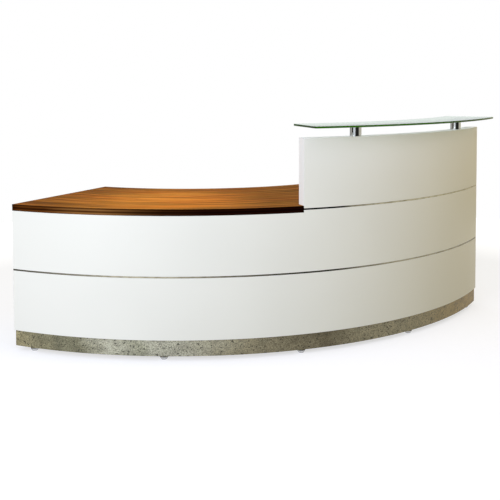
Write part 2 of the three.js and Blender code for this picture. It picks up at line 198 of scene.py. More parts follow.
class NodeGraph:
    """A node tree, with short calls for the nodes that the finishes share."""

    def __init__(self, tree: bpy.types.NodeTree, plan: ArcPlan) -> None:
        """Starts from an empty tree."""
        self.tree = tree
        self.plan = plan
        self.tree.nodes.clear()

    def node(self, kind: str, *values: Value, **settings: str) -> bpy.types.Node:
        """Adds a node.

        Args:
            kind: The node's type name without its ShaderNode prefix.
            *values: What its first inputs are fed with, in order.
            **settings: Properties of the node.

        Returns:
            The new node.
        """
        made = self.tree.nodes.new("ShaderNode" + kind)
        for name, setting in settings.items():
            setattr(made, name, setting)
        for socket, value in zip(made.inputs, values):
            self.feed(socket, value)
        return made

    def feed(self, socket: Socket, value: Value) -> None:
        """Links a socket to another one, or sets its value.

        Args:
            socket: The input to feed.
            value: An output socket, a number, a colour or a vector.
        """
        if isinstance(value, Socket):
            self.tree.links.new(value, socket)
        elif hasattr(value, "__len__") and len(socket.default_value) > len(value):
            socket.default_value = (*value, 1)
        else:
            socket.default_value = value

    def maths(self, operation: str, first: Value, second: Value = 0.0) -> Socket:
        """The result of a Math node's operation on one or two values."""
        return self.node("Math", first, second, operation=operation).outputs[0]

    def times(self, first: Value, second: Value) -> Socket:
        """The product of two values."""
        return self.maths("MULTIPLY", first, second)

    def plus(self, first: Value, second: Value) -> Socket:
        """The sum of two values."""
        return self.maths("ADD", first, second)

    def split(self, vector: Socket) -> tuple[Socket, ...]:
        """The three parts of a vector."""
        return tuple(self.node("SeparateXYZ", vector).outputs)

    def join(self, *parts: Value) -> Socket:
        """A vector from its parts."""
        return self.node("CombineXYZ", *parts).outputs[0]

    def spot(self, lay: Lay = Lay.STRAIGHT) -> Socket:
        """Coordinates of the surface, in metres.

        Args:
            lay: CURVED counts along the front of the wall, outwards and upwards; STRAIGHT is the row frame.

        Returns:
            The coordinates' socket.
        """
        straight = self.node("TexCoord").outputs["Object"]
        if lay is Lay.STRAIGHT:
            return straight
        moved = self.node("VectorMath", straight, self.plan.centre, operation="SUBTRACT")
        x, y, z = self.split(moved.outputs[0])
        angle = self.maths("ARCTAN2", x, self.times(y, -1))
        radius = self.maths("SQRT", self.plus(self.times(x, x), self.times(y, y)))
        return self.join(self.times(angle, self.plan.front), radius, z)

    def noise(self, vector: Socket, pattern: Pattern) -> Socket:
        """A noise between 0 and 1.

        Args:
            vector: The coordinates.
            pattern: The noise's scale and layers.

        Returns:
            The noise's socket.
        """
        scale = pattern.scale
        if isinstance(scale, tuple):
            stretched = self.node("Mapping", vector)
            stretched.inputs["Scale"].default_value = scale
            vector = stretched.outputs[0]
            scale = 1
        made = self.node("TexNoise", vector)
        made.inputs["Scale"].default_value = scale
        made.inputs["Detail"].default_value = pattern.layers
        return made.outputs["Fac"]

    def wander(self, noise: Socket, reach: float) -> Socket:
        """A noise made to wander about zero, over this reach."""
        return self.times(self.maths("SUBTRACT", noise, NOISE_MIDDLE), reach)

    def cells(self, vector: Socket, scale: float) -> Socket:
        """A random grey for each cell of a broken pattern, with this many cells to the metre."""
        made = self.node("TexVoronoi", vector)
        made.inputs["Scale"].default_value = scale
        return self.split(made.outputs["Color"])[0]

    def spread(self, value: Socket, source: Span, target: Span) -> Socket:
        """A value moved from one span to another, and held there."""
        return self.node("MapRange", value, *source, *target).outputs[0]

    def ramp(self, value: Socket, places: Sequence[float], colours: Sequence[Colour]) -> Socket:
        """A colour that changes with a value.

        Args:
            value: The socket that chooses.
            places: Places between 0 and 1, in order.
            colours: The colour at each place.

        Returns:
            The colour's socket.
        """
        made = self.node("ValToRGB", value)
        line = made.color_ramp.elements
        while len(line) < len(places):
            line.new(1)
        for element, place, colour in zip(line, places, colours):
            element.position = place
            element.color = (*colour, 1)
        return made.outputs[0]

    def greys(self, value: Socket, places: Sequence[float], levels: Sequence[float]) -> Socket:
        """A grey that changes with a value, by its levels at places between 0 and 1."""
        return self.ramp(value, places, [(level, level, level) for level in levels])

    def mix(self, share: Value, first: Value, second: Value, blend: str = "MIX") -> Socket:
        """A mix of two colours.

        Args:
            share: How much of the second colour.
            first: The first colour.
            second: The second colour.
            blend: The Mix node's blend type.

        Returns:
            The mixed colour's socket.
        """
        made = self.node("Mix", share, data_type="RGBA", blend_type=blend)
        self.feed(made.inputs[MIX_FIRST], first)
        self.feed(made.inputs[MIX_SECOND], second)
        return made.outputs[MIX_RESULT]

    def tinted(self, colour: Socket, tint: Socket, share: float = 1.0) -> Socket:
        """A colour multiplied by a tint, of which a share shows."""
        return self.mix(share, colour, tint, "MULTIPLY")

    def bump(self, height: Socket, distance: float, strength: float) -> Socket:
        """A fine relief.

        Args:
            height: The relief, between 0 and 1.
            distance: Its depth in metres.
            strength: How much of it shows.

        Returns:
            The normal's socket.
        """
        made = self.node("Bump", strength, distance)
        self.feed(made.inputs["Height"], height)
        return made.outputs[0]

    def surface(self, **sockets: Value) -> bpy.types.Node:
        """Ends the tree in a Principled shader.

        Args:
            **sockets: Its inputs by name, with _ for a space.

        Returns:
            The output node.
        """
        shader = self.node("BsdfPrincipled")
        for name, value in sockets.items():
            self.feed(shader.inputs[name.replace("_", " ")], value)
        return self.node("OutputMaterial", shader.outputs[0])


@dataclass(frozen=True)
class Finish:
    """A surface finish for a slot of the record, which makes its material once.

    The gloss is a span of roughness, the depth is that of the relief, and the relief is how much of it shows.
    """

    name: str
    slot: Slot
    gloss: Span = UNIT
    shine: float = 0.5
    metallic: float = 0.0
    depth: float = 0.0
    relief: float = 1.0

    def material(self, plan: ArcPlan) -> bpy.types.Material:
        """Finds or makes the material.

        Args:
            plan: The circle that curved patterns follow.

        Returns:
            The material.
        """
        found = bpy.data.materials.get(self.name)
        if found is None:
            found = bpy.data.materials.new(self.name)
            found.use_nodes = True
            self.paint(NodeGraph(found.node_tree, plan))
        return found

    def paint(self, graph: NodeGraph) -> None:
        """Lays the finish out in nodes."""
        raise NotImplementedError

    def dress(self, graph: NodeGraph, colour: Socket, wear: Socket, height: Socket) -> None:
        """Ends the tree in the finish's shader.

        Args:
            graph: The tree.
            colour: The colour of the surface.
            wear: A noise that its gloss follows.
            height: A pattern that its relief follows.
        """
        graph.surface(
            Base_Color=colour,
            Metallic=self.metallic,
            Roughness=graph.spread(wear, NOISE, self.gloss),
            Specular_IOR_Level=self.shine,
            Normal=graph.bump(height, self.depth, self.relief),
        )


@dataclass(frozen=True)
class WhiteLaminate(Finish):
    """Satin white laminate with a faint pearl grain."""

    name: str = "satin_white_laminate"
    slot: Slot = Slot.WHITE
    light: Colour = (0.87, 0.875, 0.87)
    shade: Colour = (0.845, 0.85, 0.845)
    clouds: Pattern = Pattern(2.2, 1)
    pearls: Pattern = Pattern(700, 2)
    gloss: Span = (0.34, 0.44)
    shine: float = 0.35
    depth: float = 0.00002

    def paint(self, graph: NodeGraph) -> None:
        """Lays the finish out in nodes."""
        spot = graph.spot()
        white = graph.ramp(graph.noise(spot, self.clouds), NOISE, (self.shade, self.light))
        pearl = graph.noise(spot, self.pearls)
        self.dress(graph, white, pearl, pearl)


@dataclass(frozen=True)
class WalnutLaminate(Finish):
    """Wood-grain laminate, with figure that follows the curve, streaks and fine pores."""

    name: str = "walnut_laminate"
    slot: Slot = Slot.WALNUT
    dark: Colour = (0.16, 0.060, 0.009)
    middle: Colour = (0.285, 0.102, 0.014)
    light: Colour = (0.45, 0.165, 0.024)
    tones: tuple[float, ...] = (0.5, 0.6, 0.7)
    orange: Colour = (1.04, 0.955, 0.86)
    olive: Colour = (0.97, 1.05, 1.04)
    patches: Pattern = Pattern((1.5, 7, 1), 1)
    patch_span: Span = (0.4, 0.6)
    sway: Pattern = Pattern((1.2, 2.0, 1), 1)
    waver: float = 0.02
    bends: Pattern = Pattern((3, 2.5, 1), 1)
    waves: float = 1.7
    bands: float = 16
    band_fade: Pattern = Pattern((6, 14, 1), 1)
    band_span: Span = (0.35, 0.65)
    band_share: Span = (0.01, 0.06)
    figure: Pattern = Pattern((1.0, 30, 1), 3)
    figure_share: float = 0.64
    streaks: Pattern = Pattern((3.5, 110, 1), 2)
    streak_share: float = 0.36
    fibres: Pattern = Pattern((9, 600, 1), 2)
    fibre_share: float = 0.2
    pores: Pattern = Pattern((45, 1300, 1), 1)
    pore_span: Span = (0.62, 0.7)
    pore_share: float = 0.5
    depth: float = 0.00008
    relief: float = 0.5
    gloss: Span = (0.52, 0.42)
    shine: float = 0.002

    def paint(self, graph: NodeGraph) -> None:
        """Lays the finish out in nodes."""
        spot = graph.spot(Lay.CURVED)
        along, radius, _ = graph.split(spot)
        across = graph.plus(radius, graph.times(graph.noise(spot, self.sway), self.waver))
        grain = graph.join(along, across)
        bend = graph.times(graph.noise(grain, self.bends), self.waves)
        turns = graph.plus(graph.times(across, self.bands), bend)
        lines = graph.maths("SINE", graph.times(turns, math.tau))
        shown = graph.spread(graph.noise(grain, self.band_fade), self.band_span, self.band_share)
        streak = graph.noise(grain, self.streaks)
        fibre = graph.noise(grain, self.fibres)
        tone = graph.times(lines, shown)
        tone = graph.plus(tone, graph.times(graph.noise(grain, self.figure), self.figure_share))
        tone = graph.plus(tone, graph.times(streak, self.streak_share))
        tone = graph.plus(tone, graph.times(fibre, self.fibre_share))
        wood = graph.ramp(tone, self.tones, (self.dark, self.middle, self.light))
        patch = graph.noise(grain, self.patches)
        wood = graph.tinted(wood, graph.ramp(patch, self.patch_span, (self.orange, self.olive)))
        pores = graph.spread(graph.noise(grain, self.pores), self.pore_span, UNIT)
        wood = graph.mix(graph.times(pores, self.pore_share), wood, self.dark)
        self.dress(graph, wood, streak, graph.maths("SUBTRACT", fibre, pores))


@dataclass(frozen=True)
class GroovedEdging(Finish):
    """Dark edging with lengthwise lines, from brown at the left end to near black in the middle, partly its
    own tone and partly painted highlight and shade.
    """

    name: str = "dark_grooved_edging"
    slot: Slot = Slot.EDGING
    levels: Span = (0.708, 0.740)
    line: Colour = (0.055, 0.018, 0.0025)
    brown: Colour = (0.20, 0.092, 0.029)
    line_places: tuple[float, ...] = (0.02, 0.4, 0.54, 0.88)
    brown_places: tuple[float, ...] = (0.1, 0.28, 0.64, 0.8)
    # Tones along the left half of the front: the edging's own dark brown, with a painted highlight on the
    # left half and painted shade towards the middle
    tones: Stops = (
        (0.0, (0.22, 0.13, 0.06)),
        (0.03, (0.44, 0.29, 0.14)),
        (0.13, (0.5, 0.35, 0.2)),
        (0.24, (1.15, 1.12, 1.1)),
        (0.33, (1.2, 1.2, 1.2)),
        (0.45, (0.4, 0.36, 0.33)),
        (0.535, (0.16, 0.11, 0.09)),
        (0.667, (0.07, 0.03, 0.03)),
        (1.0, (0.05, 0.02, 0.02)),
    )
    streaks: Pattern = Pattern((7, 7, 420), 3)
    wander: float = 0.16
    gloss: Span = (0.4, 0.55)
    shine: float = 0.01
    depth: float = 0.0001
    relief: float = 0.6

    def paint(self, graph: NodeGraph) -> None:
        """Lays the finish out in nodes."""
        spot = graph.spot(Lay.CURVED)
        along, _, height = graph.split(spot)
        streak = graph.noise(spot, self.streaks)
        place = graph.plus(graph.spread(height, self.levels, UNIT), graph.wander(streak, self.wander))
        stops = [(stop, self.line) for stop in self.line_places]
        stops += [(stop, self.brown) for stop in self.brown_places]
        bands = graph.ramp(place, *zip(*sorted(stops)))
        # Tints the edging along the front: partly its own tone, partly a painted highlight on the left and
        # painted shade towards the middle
        tone = graph.ramp(graph.spread(along, LEFT_FRONT, UNIT), *zip(*self.tones))
        self.dress(graph, graph.tinted(bands, tone), streak, streak)


@dataclass(frozen=True)
class TrimMetal(Finish):
    """Dull drawn metal with a mottled surface, in darker and lighter lengths that are painted reflection.

    The tones are levels at places along the front, a painted reflection of the room. The lead is the length
    from the middle that is covered by a near-black painted shadow.
    """

    name: str = "trim_metal"
    slot: Slot = Slot.STRIP
    dark: Colour = (0.36, 0.33, 0.22)
    light: Colour = (0.61, 0.565, 0.42)
    # Near-black painted shadow, laid over the lead from the middle of the front
    painted_shadow: Colour = (0.010, 0.010, 0.010)
    lead: float = 0.0
    lead_fade: Span = (0.9, 1.15)
    # Levels at places along the front: a painted reflection, darker and lighter lengths of the strip
    tones: tuple[Span, ...] = (
        (0.0, 0.15),
        (0.13, 0.34),
        (0.2, 0.66),
        (0.28, 0.74),
        (0.37, 0.4),
        (0.43, 0.2),
        (0.5, 0.09),
        (0.56, 0.07),
        (0.6, 0.36),
        (0.66, 0.64),
        (0.85, 0.58),
        (1.0, 0.36),
    )
    mottles: Pattern = Pattern((30, 30, 90), 3)
    mottle_span: Span = (0.3, 0.56)
    drawing: Pattern = Pattern((6, 900, 2200), 2)
    gloss: Span = (0.32, 0.5)
    metallic: float = 0.9
    depth: float = 0.00004
    relief: float = 0.6

    def paint(self, graph: NodeGraph) -> None:
        """Lays the finish out in nodes."""
        spot = graph.spot(Lay.CURVED)
        along, _, _ = graph.split(spot)
        drawn = graph.noise(spot, self.drawing)
        metal = graph.ramp(graph.noise(spot, self.mottles), self.mottle_span, (self.dark, self.light))
        # The tones along the front are painted reflection: darker and lighter lengths of the strip
        tone = graph.greys(graph.spread(along, WHOLE_FRONT, UNIT), *zip(*self.tones))
        metal = graph.tinted(metal, tone)
        # The lead lays a near-black painted shadow over the strip from the middle of the front
        if self.lead:
            start, stop = (self.lead * share for share in self.lead_fade)
            metal = graph.mix(graph.spread(along, (start, stop), FADING), metal, self.painted_shadow)
        self.dress(graph, metal, drawn, drawn)


@dataclass(frozen=True)
class PlinthSteel(Finish):
    """Speckled satin steel with slow changes of tone along its length."""

    name: str = "speckled_plinth_steel"
    slot: Slot = Slot.PLINTH
    lay: Lay = Lay.CURVED
    warm: Colour = (0.335, 0.295, 0.17)
    dull: Colour = (0.19, 0.182, 0.117)
    pale: Colour = (0.385, 0.38, 0.30)
    cool: Colour = (0.285, 0.285, 0.208)
    olive: Colour = (0.277, 0.249, 0.16)
    dark: Colour = (0.15, 0.128, 0.076)
    amber: Colour = (0.30, 0.21, 0.07)
    drifts: Pattern = Pattern((6, 1, 9), 3)
    drift: float = 0.08
    mottles: Pattern = Pattern((16, 16, 26), 3)
    mottle_levels: Span = (0.55, 1.3)
    mottle_share: float = 0.5
    grit: Pattern = Pattern(190, 3)
    grit_span: Span = (0.35, 0.65)
    grit_levels: Span = (0.45, 1.5)
    grit_share: float = 0.75
    speck: Colour = (0.045, 0.042, 0.03)
    specks: Pattern = Pattern((90, 90, 115), 1)
    speck_span: Span = (0.63, 0.69)
    speck_share: Span = (0.0, 0.85)
    gloss: Span = (0.36, 0.56)
    metallic: float = 0.7
    depth: float = 0.00006
    relief: float = 0.5

    def lengths(self) -> Stops:
        """The tones at places along the front."""
        return (
            (0.0, self.warm),
            (0.09, self.dull),
            (0.125, self.dull),
            (0.165, self.pale),
            (0.225, self.cool),
            (0.25, self.pale),
            (0.29, self.pale),
            (0.4, self.olive),
            (0.55, self.dark),
            (0.6, self.olive),
            (0.71, self.olive),
            (0.98, self.amber),
        )

    def paint(self, graph: NodeGraph) -> None:
        """Lays the finish out in nodes."""
        spot = graph.spot(self.lay)
        along, _, _ = graph.split(spot)
        drift = graph.wander(graph.noise(spot, self.drifts), self.drift)
        place = graph.plus(graph.spread(along, WHOLE_FRONT, UNIT), drift)
        body = graph.ramp(place, *zip(*self.lengths()))
        mottle = graph.noise(spot, self.mottles)
        grit = graph.noise(spot, self.grit)
        body = graph.tinted(body, graph.greys(mottle, NOISE, self.mottle_levels), self.mottle_share)
        body = graph.tinted(body, graph.greys(grit, self.grit_span, self.grit_levels), self.grit_share)
        specks = graph.spread(graph.noise(spot, self.specks), self.speck_span, self.speck_share)
        self.dress(graph, graph.mix(specks, body, self.speck), grit, grit)


@dataclass(frozen=True)
class BrightChrome(Finish):
    """Polished chrome with faint turning marks."""

    name: str = "bright_chrome"
    slot: Slot = Slot.CHROME
    metallic: float = 1.0
    light: Colour = (0.86, 0.87, 0.88)
    shade: Colour = (0.74, 0.75, 0.77)
    gloss: Span = (0.05, 0.11)
    haze: Pattern = Pattern(60, 2)
    marks: Pattern = Pattern((40, 40, 3000), 1)
    depth: float = 0.000004
    relief: float = 0.3

    def paint(self, graph: NodeGraph) -> None:
        """Lays the finish out in nodes."""
        spot = graph.spot()
        metal = graph.ramp(graph.noise(spot, self.haze), NOISE, (self.shade, self.light))
        marks = graph.noise(spot, self.marks)
        self.dress(graph, metal, marks, marks)


@dataclass(frozen=True)
class ZincPlate(Finish):
    """Zinc-plated steel with a broken spangle."""

    name: str = "zinc_plate"
    slot: Slot = Slot.ZINC
    metallic: float = 1.0
    light: Colour = (0.62, 0.63, 0.64)
    shade: Colour = (0.42, 0.43, 0.44)
    spangles: float = 420
    spangle_span: Span = (0.1, 0.9)
    dirt: Pattern = Pattern(150, 3)
    gloss: Span = (0.28, 0.48)
    depth: float = 0.00003
    relief: float = 0.4

    def paint(self, graph: NodeGraph) -> None:
        """Lays the finish out in nodes."""
        spot = graph.spot()
        spangle = graph.cells(spot, self.spangles)
        metal = graph.ramp(spangle, self.spangle_span, (self.shade, self.light))
        dirt = graph.noise(spot, self.dirt)
        self.dress(graph, metal, dirt, dirt)


@dataclass(frozen=True)
class ClearGlass(Finish):
    """Clear float glass with a green body, which shows and faintly glows at the edges."""

    name: str = "green_float_glass"
    slot: Slot = Slot.GLASS
    refraction: float = 1.5
    tint: Colour = (0.50, 0.69, 0.40)
    density: float = 22.0
    rim: Colour = (0.52, 0.60, 0.27)
    ground: float = 0.13
    glint: Colour = (0.12, 0.36, 0.02)
    glow: float = 0.1
    edge_span: Span = (0.2, 0.5)
    smears: Pattern = Pattern((5, 9, 5), 2)
    smear_span: Span = (0.45, 0.75)
    smear_gloss: Span = (0.0, 0.03)

    def paint(self, graph: NodeGraph) -> None:
        """Lays the finish out in nodes: smears on the faces and a fine grind on the edges."""
        _, _, upright = graph.split(graph.node("NewGeometry").outputs["True Normal"])
        edge = graph.spread(graph.maths("ABSOLUTE", upright), self.edge_span, FADING)
        smear = graph.spread(graph.noise(graph.spot(), self.smears), self.smear_span, self.smear_gloss)
        output = graph.surface(
            Base_Color=graph.mix(edge, CLEAR, self.rim),
            Roughness=graph.plus(graph.times(edge, self.ground), smear),
            Transmission_Weight=1.0,
            IOR=self.refraction,
            Emission_Color=self.glint,
            Emission_Strength=graph.times(edge, self.glow),
        )
        body = graph.node("VolumeAbsorption", self.tint, self.density)
        graph.feed(output.inputs["Volume"], body.outputs[0])


@dataclass(frozen=True)
class FramePlywood(Finish):
    """Bare birch plywood, with plies that show on the edges."""

    name: str = "frame_plywood"
    slot: Slot = Slot.TIMBER
    pale: Colour = (0.62, 0.44, 0.25)
    tan: Colour = (0.44, 0.27, 0.13)
    grain: Pattern = Pattern((3, 500, 160), 3)
    grain_span: Span = (0.32, 0.66)
    ply: float = 0.0035
    glue: Colour = (0.20, 0.11, 0.05)
    glue_span: Span = (0.86, 0.94)
    glue_share: Span = (0.0, 0.6)
    gloss: Span = (0.62, 0.78)
    shine: float = 0.25
    depth: float = 0.0001
    relief: float = 0.5

    def paint(self, graph: NodeGraph) -> None:
        """Lays the finish out in nodes."""
        spot = graph.spot(Lay.CURVED)
        _, radius, _ = graph.split(spot)
        grain = graph.noise(spot, self.grain)
        layer = graph.maths("FRACT", graph.maths("DIVIDE", radius, self.ply))
        lines = graph.spread(layer, self.glue_span, self.glue_share)
        wood = graph.ramp(grain, self.grain_span, (self.tan, self.pale))
        self.dress(graph, graph.mix(lines, wood, self.glue), grain, grain)


WHITE = WhiteLaminate()
WALNUT = WalnutLaminate()
EDGING = GroovedEdging()
STRIP = TrimMetal()
# The upper strip's tones are painted reflection, and its lead is a near-black painted shadow from the middle
UPPER_STRIP = TrimMetal(
    name="upper_trim_metal",
    lead=0.235,
    tones=((0.57, 0.5), (0.66, 0.95), (0.95, 1.0)),
)
PLINTH = PlinthSteel()
PLINTH_BOARD = PlinthSteel(name="plinth_board_laminate", slot=Slot.PLINTH_BOARD, lay=Lay.STRAIGHT)
CHROME = BrightChrome()
# The feet's chrome is a little rougher than the posts', and its darker colour is painted shade for the shadow
# under the plinth
DULL_CHROME_PAINTED_SHADE = BrightChrome(
    name="dull_chrome_painted_shade",
    light=(0.60, 0.60, 0.59),
    shade=(0.42, 0.42, 0.41),
    gloss=(0.07, 0.15),
)
ZINC = ZincPlate()
GLASS = ClearGlass()
PLYWOOD = FramePlywood()

# Finishes of the nodes that keep their shape, by a part of the node's name
CARRIED = {
    "base_rail": PLYWOOD,
    "upright_": PLYWOOD,
    "_plinth": PLINTH_BOARD,
    "_insert": ZINC,
    "standoff_bolt": ZINC,
}


def rectangle(inner: float, outer: float, levels: Span) -> Profile:
    """A rectangular section, by its two radii and its two levels."""
    low, high = levels
    return [(inner, low), (outer, low), (outer, high), (inner, high)]


def band(node: str) -> Span:
    """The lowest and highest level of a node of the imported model."""
    low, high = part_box(node)
    return low.z, high.z


def foot(node: str) -> Vector:
    """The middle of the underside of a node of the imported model."""
    low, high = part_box(node)
    return Vector(((low.x + high.x) / 2, (low.y + high.y) / 2, low.z))


def everything(shape: Shape) -> Elements:
    """All the vertices, edges and faces of a shape."""
    return shape.verts[:] + shape.edges[:] + shape.faces[:]


def chain(shape: Shape, points: Sequence[Vector]) -> Elements:
    """Adds a line through points to a shape.

    Args:
        shape: The mesh it goes in.
        points: The points in order.

    Returns:
        The line's vertices and edges.
    """
    verts = [shape.verts.new(point) for point in points]
    return verts + [shape.edges.new(pair) for pair in zip(verts, verts[1:])]


def sweep(
    shape: Shape,
    geometry: Elements,
    axis: Vector,
    angle: float,
    steps: int,
    rise: float = 0.0,
    closed: bool = False,
) -> Elements:
    """Sweeps part of a shape about an upright axis.

    Args:
        shape: The mesh that is swept in.
        geometry: Its faces, edges and vertices to sweep.
        axis: A point of the axis.
        angle: How far.
        steps: Steps on the way.
        rise: How far each step climbs.
        closed: Whether the end is merged with the start.

    Returns:
        The geometry at the end of the sweep.
    """
    swept = bmesh.ops.spin(
        shape,
        geom=geometry,
        cent=axis,
        axis=UP,
        dvec=UP * rise,
        angle=angle,
        steps=steps,
        use_merge=closed,
    )
    return swept["geom_last"]


def merge(shape: Shape) -> None:
    """Merges the doubles of a shape."""
    bmesh.ops.remove_doubles(shape, verts=shape.verts[:], dist=MERGE_DISTANCE)


def face_outwards(shape: Shape) -> None:
    """Turns the faces of a shape outwards."""
    bmesh.ops.recalc_face_normals(shape, faces=shape.faces[:])


def soften(shape: Shape, geometry: Elements, radius: float, steps: int, kind: Rounded) -> None:
    """Rounds edges or corners of a shape.

    Args:
        shape: The mesh.
        geometry: The edges or vertices to round.
        radius: Radius of the rounding.
        steps: Steps of the rounding.
        kind: Which of the two they are.
    """
    bmesh.ops.bevel(
        shape,
        geom=geometry,
        offset=radius,
        offset_type="OFFSET",
        segments=steps,
        profile=0.5,
        affect=kind.value,
        material=-1,
        clamp_overlap=True,
    )


def round_edges(shape: Shape, radius: float) -> None:
    """Rounds every edge where two faces meet at a clear angle."""
    face_outwards(shape)
    sharp = [edge for edge in shape.edges if edge.is_manifold and edge.calc_face_angle() > ROUNDED_ANGLE]
    soften(shape, sharp, radius, EDGE_STEPS, Rounded.EDGES)


class Workshop:
    """Makes shapes on the desk's plan and turns them into pieces of the scene."""

    def __init__(self, plan: ArcPlan) -> None:
        """Keeps the plan that the shapes are struck from."""
        self.plan = plan

    def bend(self, shape: Shape, geometry: Elements, angle: float) -> Elements:
        """Sweeps part of a shape along the arc.

        Args:
            shape: The mesh that is swept in.
            geometry: Its faces, edges and vertices to sweep.
            angle: How far.

        Returns:
            The geometry at the end of the sweep.
        """
        steps = max(1, round(abs(angle) / SPIN_STEP))
        return sweep(shape, geometry, self.plan.centre, angle, steps)

    def curved_board(self, profile: Profile, start: float, stop: float, edge: float) -> Shape:
        """A board of one section, bent along the arc.

        Args:
            profile: Corners of the section, each a radius and a height.
            start: Angle of the left end.
            stop: Angle of the right end.
            edge: Radius of its rounded edges.

        Returns:
            The shape.
        """
        shape = bmesh.new()
        corners = [self.plan.point(radius, start, height) for radius, height in profile]
        shape.faces.new([shape.verts.new(corner) for corner in corners])
        self.bend(shape, everything(shape), stop - start)
        round_edges(shape, edge)
        return shape

    def stepped_board(
        self, long: Profile, short: Profile, ends: tuple[float, float, float], edge: float
    ) -> Shape:
        """A board bent along the arc that has a second section beside the first for part of the way.

        Args:
            long: Corners of the section that runs the whole arc.
            short: Corners of the section that stops at the step; two of them are the first section's too.
            ends: Angles of the start, the step and the far end.
            edge: Radius of its rounded edges.

        Returns:
            The shape.
        """
        start, step, stop = ends
        shape = bmesh.new()
        corners = {}
        for corner in dict.fromkeys((*long, *short)):
            corners[corner] = shape.verts.new(self.plan.point(corner[0], start, corner[1]))
        for profile in (long, short):
            shape.faces.new([corners[corner] for corner in profile])
        swept = self.bend(shape, everything(shape), step - start)
        middle = sum((self.plan.point(radius, step, height) for radius, height in long), Vector()) / len(long)
        caps = [face for face in swept if isinstance(face, bmesh.types.BMFace)]
        kept = min(caps, key=lambda face: (face.calc_center_median() - middle).length)
        self.bend(shape, [*kept.verts, *kept.edges, kept], stop - step)
        round_edges(shape, edge)
        return shape

    def radial_board(self, angle: float, across: Span, along: Span, levels: Span, edge: float) -> Shape:
        """A straight board along a radial line.

        Args:
            angle: The radial line.
            across: Its two faces, as distances beside the line.
            along: Its inner and outer radius.
            levels: Its lowest and highest level.
            edge: Radius of its rounded edges.

        Returns:
            The shape.
        """
        size = Vector((across[1] - across[0], along[1] - along[0], levels[1] - levels[0]))
        middle = Vector((sum(across) / 2, -sum(along) / 2, sum(levels) / 2))
        line = Matrix.Translation(self.plan.centre) @ Matrix.Rotation(angle, 4, "Z")
        place = line @ Matrix.Translation(middle)
        shape = bmesh.new()
        bmesh.ops.create_cube(shape, size=1, matrix=place @ Matrix.Diagonal((*size, 1)))
        round_edges(shape, edge)
        return shape

    @staticmethod
    def turned(profile: Profile, axis: Vector) -> Shape:
        """A round piece about an upright axis.

        Args:
            profile: Its outline from pole to pole, each point a radius and a height.
            axis: A point of the axis, at the level that heights count from.

        Returns:
            The shape.
        """
        shape = bmesh.new()
        line = chain(shape, [axis + Vector((radius, 0, height)) for radius, height in profile])
        sweep(shape, line, axis, math.tau, ROUND_SIDES, closed=True)
        merge(shape)
        face_outwards(shape)
        return shape

    def bent_piece(self, node: str, ending: str, finish: Finish, radii: Span, arc: Span, edge: float) -> None:
        """Delivers a bent board of rectangular section, at the levels of the node that it stands for.

        Args:
            node: The node.
            ending: What the piece's name adds to the node's.
            finish: Its finish.
            radii: Its inner and outer radius.
            arc: Angles of its left and right end.
            edge: Radius of its rounded edges.
        """
        shape = self.curved_board(rectangle(*radii, band(node)), *arc, edge)
        self.deliver(shape, f"{node}_{ending}", finish, node)

    def deliver(self, shape: Shape, name: str, finish: Finish, *nodes: str, body: str = DESK_BODY) -> None:
        """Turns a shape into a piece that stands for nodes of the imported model.

        Args:
            shape: The mesh, which is used up.
            name: The piece's name.
            finish: Its finish.
            *nodes: The nodes it stands for.
            body: The body it rides on.
        """
        mesh = bpy.data.meshes.new(name)
        shape.to_mesh(mesh)
        shape.free()
        mesh.materials.append(finish.material(self.plan))
        mesh.polygons.foreach_set("use_smooth", [True] * len(mesh.polygons))
        mesh.set_sharp_from_angle(angle=SHARP_ANGLE)
        piece = bpy.data.objects.new(name, mesh)
        bpy.context.scene.collection.objects.link(piece)
        piece.modifiers.new("even_normals", "WEIGHTED_NORMAL").keep_sharp = True
        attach(piece, body)
        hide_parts(*nodes)
        LOG.info("%s: %d faces on %s", name, len(mesh.polygons), body)


@dataclass
class SubAssembly:
    """A group of pieces that the workshop makes."""

    shop: Workshop

    @property
    def plan(self) -> ArcPlan:
        """The plan that the pieces are struck from."""
        return self.shop.plan

    def build(self) -> None:
        """Builds the pieces."""
        raise NotImplementedError


@dataclass
class WallSkins(SubAssembly):
    """The curved white panels of the wall, front and back, and the metal strips between them."""

    strip_recess: float = 0.001
    edge: float = 0.0008
    strip_edge: float = 0.0004

    def build(self) -> None:
        """Builds the front panels, the strips and the back panels."""
        plan = self.plan
        left, right = -plan.half_arc, plan.half_arc
        radii = (plan.skin_back, plan.front)
        for node, start in (("lower_front_panel", left), ("raised_front_panel", 0)):
            self.shop.bent_piece(node, "skin", WHITE, radii, (start, right), self.edge)
        nodes = ("desk_front_panel", "counter_front_panel")
        low, step = band(nodes[0])
        long = rectangle(*radii, (low, step))
        short = rectangle(*radii, (step, band(nodes[1])[1]))
        shape = self.shop.stepped_board(long, short, (right, 0, left), self.edge)
        self.shop.deliver(shape, "middle_front_panel_skin", WHITE, *nodes)
        radii = (plan.skin_back, plan.front - self.strip_recess)
        for node, start, finish in (("middle_strip", left, STRIP), ("upper_strip", 0, UPPER_STRIP)):
            self.shop.bent_piece(node, "trim", finish, radii, (start, right), self.strip_edge)
        radii = (plan.wall_back, plan.wall_back + plan.skin)
        inset = plan.beside(plan.end_board + FIT_GAP, plan.wall_back)
        backs = {"lower_back_panel": (left + inset, right - inset), "raised_back_panel": (0, right)}
        for node, arc in backs.items():
            self.shop.bent_piece(node, "skin", WHITE, radii, arc, self.edge)


